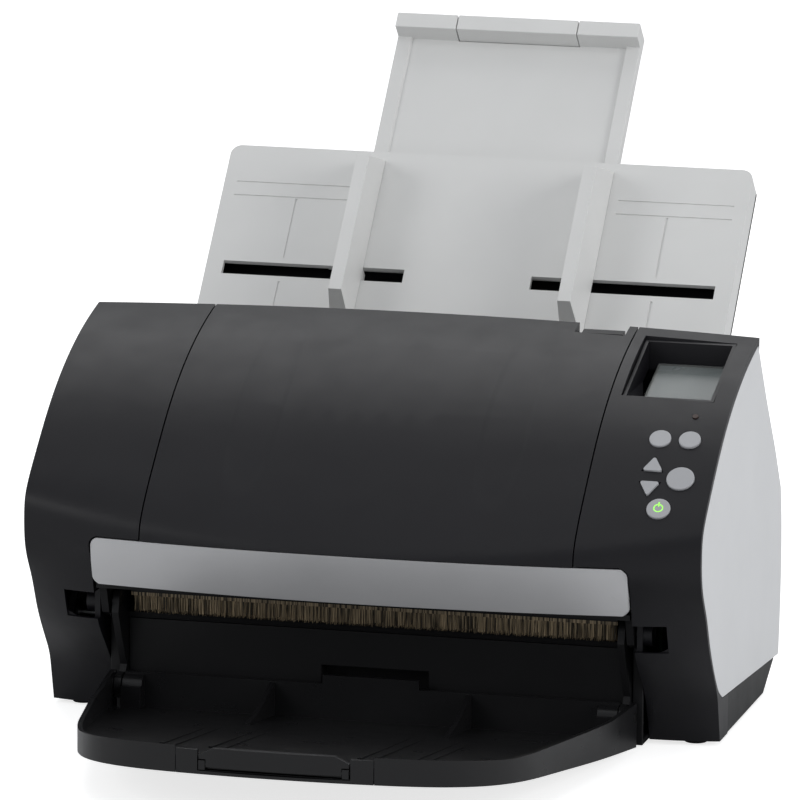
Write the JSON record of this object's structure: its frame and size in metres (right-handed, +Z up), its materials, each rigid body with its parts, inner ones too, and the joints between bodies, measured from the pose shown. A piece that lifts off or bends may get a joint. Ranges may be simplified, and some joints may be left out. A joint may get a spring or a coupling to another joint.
{
  "type": "document scanner",
  "caption": "Compact sheet-fed document scanner with a rear paper chute, sliding side guides, hinged front cover with exit brush, operator panel and folding output stacker",
  "frame": {"origin": "on the desk, under the middle of the outline's width and depth, with the chute's extension pulled out and the stacker folded down", "axes": "+X to the scanner's right as its user sees it from the front, +Y to the rear, +Z up"},
  "size_m": [0.3, 0.445, 0.2751],
  "materials": {
    "body_charcoal": "satin, fine texture",
    "trim_silver": "satin metallic paint",
    "side_light_grey": "fine matt texture",
    "chute_light_grey": "fine matt texture",
    "inner_black": "satin",
    "frame_steel": "zinc plated",
    "bright_steel": "ground",
    "roller_rubber": "matt",
    "scan_glass": "polished",
    "display_clear": "polished",
    "display_grey": "liquid crystal, unlit",
    "lamp_clear": "diffuse",
    "button_grey": "satin",
    "brush_brown": "bristle",
    "motor_metal": "satin",
    "board_green": "solder mask"
  },
  "bodies": {
    "base": {"bottom_pan": "inner_black", "right_front_shell": "body_charcoal", "left_front_shell": "body_charcoal", "right_side_cover": "side_light_grey", "left_side_cover": "side_light_grey", "rear_cover": "side_light_grey", "side_frames": "frame_steel", "lower_paper_guide": "inner_black", "lower_imaging_unit": "inner_black", "lower_scan_glass": "scan_glass", "motor": "motor_metal", "drive_belt": "roller_rubber", "circuit_boards": "board_green", "rear_sockets": "inner_black", "rubber_feet": "roller_rubber", "case_screws": "frame_steel", "display_bezel": "body_charcoal", "display_panel": "display_grey", "display_window": "display_clear", "check_lamp": "lamp_clear", "chute_tray": "chute_light_grey", "chute_back": "inner_black", "hinge_pins": "bright_steel"},
    "cover": {"adf_cover": "body_charcoal", "cover_frame": "inner_black", "front_trim": "trim_silver", "brush_holder": "inner_black", "exit_brush": "brush_brown", "upper_imaging_unit": "inner_black", "upper_scan_glass": "scan_glass", "upper_paper_guide": "inner_black"},
    "latch": {"release_latch": "body_charcoal"},
    "brake_wheel": {"brake_roller": "roller_rubber"},
    "feed_idler_wheels": {"feed_idlers": "inner_black"},
    "eject_idler_wheels": {"eject_idlers": "inner_black"},
    "pick_drive": {"pick_shaft": "bright_steel", "pick_rollers": "roller_rubber", "pick_pulley": "inner_black"},
    "feed_drive": {"feed_shaft": "bright_steel", "feed_rollers": "roller_rubber", "feed_pulley": "inner_black"},
    "eject_drive": {"eject_shaft": "bright_steel", "eject_rollers": "roller_rubber", "eject_pulley": "inner_black"},
    "motor_drive": {"motor_pulley": "inner_black"},
    "menu_key": {"menu_button": "button_grey"},
    "stop_key": {"stop_button": "button_grey"},
    "scan_key": {"scan_button": "button_grey"},
    "power_key": {"power_button": "button_grey"},
    "up_key": {"up_button": "button_grey"},
    "down_key": {"down_button": "button_grey"},
    "right_guide": {"right_side_guide": "chute_light_grey"},
    "left_guide": {"left_side_guide": "chute_light_grey"},
    "pinion": {"guide_pinion": "inner_black"},
    "extension": {"chute_extension": "chute_light_grey"},
    "extension_tip": {"chute_extension_tip": "chute_light_grey"},
    "stacker_tray": {"stacker": "inner_black"},
    "stacker_slide_1": {"stacker_extension_1": "inner_black"},
    "stacker_slide_2": {"stacker_extension_2": "inner_black"},
    "paper_stop": {"stopper": "inner_black"}
  },
  "joints": [
    {"name": "cover_hinge", "type": "hinge", "parent": "base", "child": "cover", "pos_m": [0, -0.05853, 0.054], "axis": [1, 0, 0], "range_deg": [0, 70]},
    {"name": "latch_turn", "type": "hinge", "parent": "cover", "child": "latch", "pos_m": [0, 0.02547, 0.148], "axis": [1, 0, 0], "range_deg": [0, 8], "stiffness_Nm_per_rad": 0.05, "springref_deg": -5.73},
    {"name": "brake_spin", "type": "hinge", "parent": "cover", "child": "brake_wheel", "pos_m": [0, 0.02163, 0.08515], "axis": [1, 0, 0], "continuous": true},
    {"name": "feed_idler_spin", "type": "hinge", "parent": "cover", "child": "feed_idler_wheels", "pos_m": [0, -0.00391, 0.06324], "axis": [1, 0, 0], "continuous": true},
    {"name": "eject_idler_spin", "type": "hinge", "parent": "cover", "child": "eject_idler_wheels", "pos_m": [0, -0.04197, 0.05473], "axis": [1, 0, 0], "continuous": true},
    {"name": "pick_spin", "type": "hinge", "parent": "base", "child": "pick_drive", "pos_m": [0, 0.03703, 0.07043], "axis": [1, 0, 0], "continuous": true},
    {"name": "feed_spin", "type": "hinge", "parent": "base", "child": "feed_drive", "pos_m": [0, -0.00101, 0.05026], "axis": [1, 0, 0], "continuous": true},
    {"name": "eject_spin", "type": "hinge", "parent": "base", "child": "eject_drive", "pos_m": [0, -0.0394, 0.04321], "axis": [1, 0, 0], "continuous": true},
    {"name": "motor_spin", "type": "hinge", "parent": "base", "child": "motor_drive", "pos_m": [0, -0.00353, 0.092], "axis": [1, 0, 0], "continuous": true},
    {"name": "menu_press", "type": "slide", "parent": "base", "child": "menu_key", "axis": [0, 0.5791, -0.8153], "range_m": [0, 0.0008], "stiffness_N_per_m": 300, "springref_m": -0.0005},
    {"name": "stop_press", "type": "slide", "parent": "base", "child": "stop_key", "axis": [0, 0.578, -0.8161], "range_m": [0, 0.0008], "stiffness_N_per_m": 300, "springref_m": -0.0005},
    {"name": "scan_press", "type": "slide", "parent": "base", "child": "scan_key", "axis": [0, 0.6399, -0.7685], "range_m": [0, 0.0008], "stiffness_N_per_m": 300, "springref_m": -0.0005},
    {"name": "power_press", "type": "slide", "parent": "base", "child": "power_key", "axis": [0, 0.6629, -0.7487], "range_m": [0, 0.0008], "stiffness_N_per_m": 300, "springref_m": -0.0005},
    {"name": "up_press", "type": "slide", "parent": "base", "child": "up_key", "axis": [0, 0.6302, -0.7764], "range_m": [0, 0.0008], "stiffness_N_per_m": 300, "springref_m": -0.0005},
    {"name": "down_press", "type": "slide", "parent": "base", "child": "down_key", "axis": [0, 0.6445, -0.7646], "range_m": [0, 0.0008], "stiffness_N_per_m": 300, "springref_m": -0.0005},
    {"name": "right_guide_slide", "type": "slide", "parent": "base", "child": "right_guide", "axis": [1, 0, 0], "range_m": [-0.019, 0.0595]},
    {"name": "left_guide_slide", "type": "slide", "parent": "base", "child": "left_guide", "axis": [1, 0, 0], "range_m": [-0.0595, 0.019]},
    {"name": "pinion_turn", "type": "hinge", "parent": "base", "child": "pinion", "pos_m": [0, 0.11836, 0.16769], "axis": [0, -0.723, 0.6909], "range_deg": [-690, 235]},
    {"name": "extension_slide", "type": "slide", "parent": "base", "child": "extension", "axis": [0, 0.6909, 0.723], "range_m": [-0.068, 0]},
    {"name": "extension_tip_slide", "type": "slide", "parent": "extension", "child": "extension_tip", "axis": [0, 0.6909, 0.723], "range_m": [0, 0.06]},
    {"name": "stacker_hinge", "type": "hinge", "parent": "base", "child": "stacker_tray", "pos_m": [0, -0.05653, 0.016], "axis": [1, 0, 0], "range_deg": [-52, 0]},
    {"name": "stacker_slide_1_pull", "type": "slide", "parent": "stacker_tray", "child": "stacker_slide_1", "axis": [0, -0.9943, 0.1063], "range_m": [0, 0.06]},
    {"name": "stacker_slide_2_pull", "type": "slide", "parent": "stacker_slide_1", "child": "stacker_slide_2", "axis": [0, -0.9943, 0.1063], "range_m": [0, 0.055]},
    {"name": "paper_stop_flip", "type": "hinge", "parent": "stacker_slide_2", "child": "paper_stop", "pos_m": [0, -0.22023, 0.0247], "axis": [1, 0, 0], "range_deg": [0, 85]}
  ],
  "couplings": [
    {"joint": "feed_spin", "follows": "pick_spin", "ratio": 1.6438},
    {"joint": "eject_spin", "follows": "pick_spin", "ratio": 2.069},
    {"joint": "motor_spin", "follows": "pick_spin", "ratio": 2},
    {"joint": "left_guide_slide", "follows": "right_guide_slide", "ratio": -1},
    {"joint": "pinion_turn", "follows": "right_guide_slide", "rad_per_m": -200}
  ]
}
